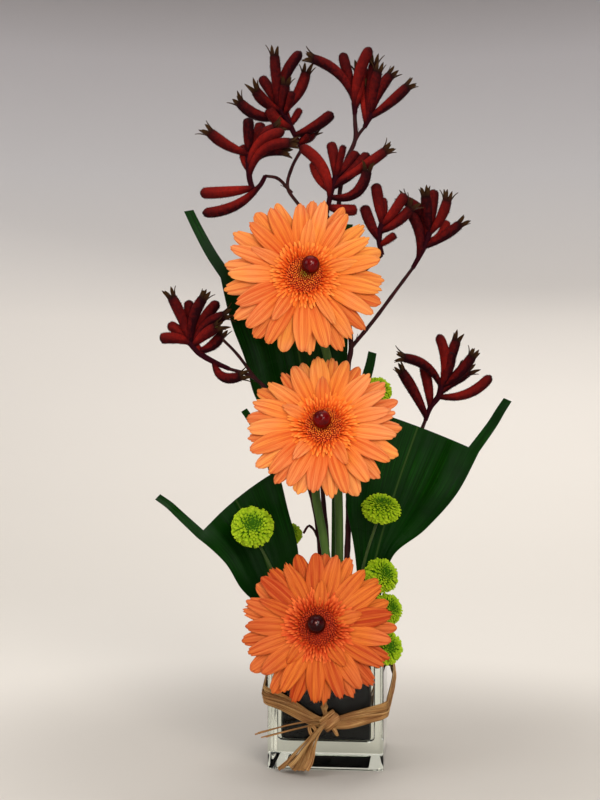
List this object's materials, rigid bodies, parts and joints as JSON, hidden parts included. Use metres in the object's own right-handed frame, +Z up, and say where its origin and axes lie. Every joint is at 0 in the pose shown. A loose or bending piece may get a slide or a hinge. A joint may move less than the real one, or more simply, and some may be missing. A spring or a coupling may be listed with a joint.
{
  "type": "gerbera arrangement in a glass cube vase",
  "caption": "Tall florist's arrangement of orange gerberas, kangaroo paws, broad cut leaves and green button flowers in a thick glass cube vase tied with raffia.",
  "frame": {"origin": "centre of the vase's flat underside", "axes": "+Z up, -Y towards the front that the flowers face, +X to the right seen from the front"},
  "size_m": [0.253, 0.1328, 0.5162],
  "materials": {
    "glass": "gloss",
    "liner": "satin",
    "foam": "matte",
    "raffia": "matte",
    "gerbera_petals": "matte",
    "gerbera_disc": "matte",
    "berry": "gloss",
    "green_stem": "matte",
    "leaf": "gloss",
    "button_florets": "matte",
    "paw_stem": "matte",
    "paw_flowers": "matte"
  },
  "bodies": {
    "root": {"glass_vase": "glass", "liner": "liner", "raffia_tie": "raffia", "flower_foam": "foam", "gerbera_top_petals": "gerbera_petals", "gerbera_top_disc": "gerbera_disc", "gerbera_top_berry": "berry", "gerbera_top_stem": "green_stem", "gerbera_middle_petals": "gerbera_petals", "gerbera_middle_disc": "gerbera_disc", "gerbera_middle_berry": "berry", "gerbera_middle_stem": "green_stem", "gerbera_low_petals": "gerbera_petals", "gerbera_low_disc": "gerbera_disc", "gerbera_low_berry": "berry", "gerbera_low_stem": "green_stem", "leaf_back": "leaf", "leaf_left": "leaf", "leaf_right": "leaf", "button_1_head": "button_florets", "button_1_stem": "green_stem", "button_2_head": "button_florets", "button_2_stem": "green_stem", "button_3_head": "button_florets", "button_3_stem": "green_stem", "button_4_head": "button_florets", "button_4_stem": "green_stem", "button_5_head": "button_florets", "button_5_stem": "green_stem", "button_6_head": "button_florets", "button_6_stem": "green_stem", "button_7_head": "button_florets", "button_7_stem": "green_stem", "button_8_head": "button_florets", "button_8_stem": "green_stem", "paw_stem_tall": "paw_stem", "paw_stem_left": "paw_stem", "paw_stem_low": "paw_stem", "paw_stem_right": "paw_stem", "paw_head_crown": "paw_flowers", "paw_head_peak": "paw_flowers", "paw_head_side": "paw_flowers", "paw_head_west": "paw_flowers", "paw_head_centre": "paw_flowers", "paw_head_inner": "paw_flowers", "paw_head_east": "paw_flowers", "paw_head_low": "paw_flowers", "paw_head_right": "paw_flowers"}
  },
  "joints": []
}
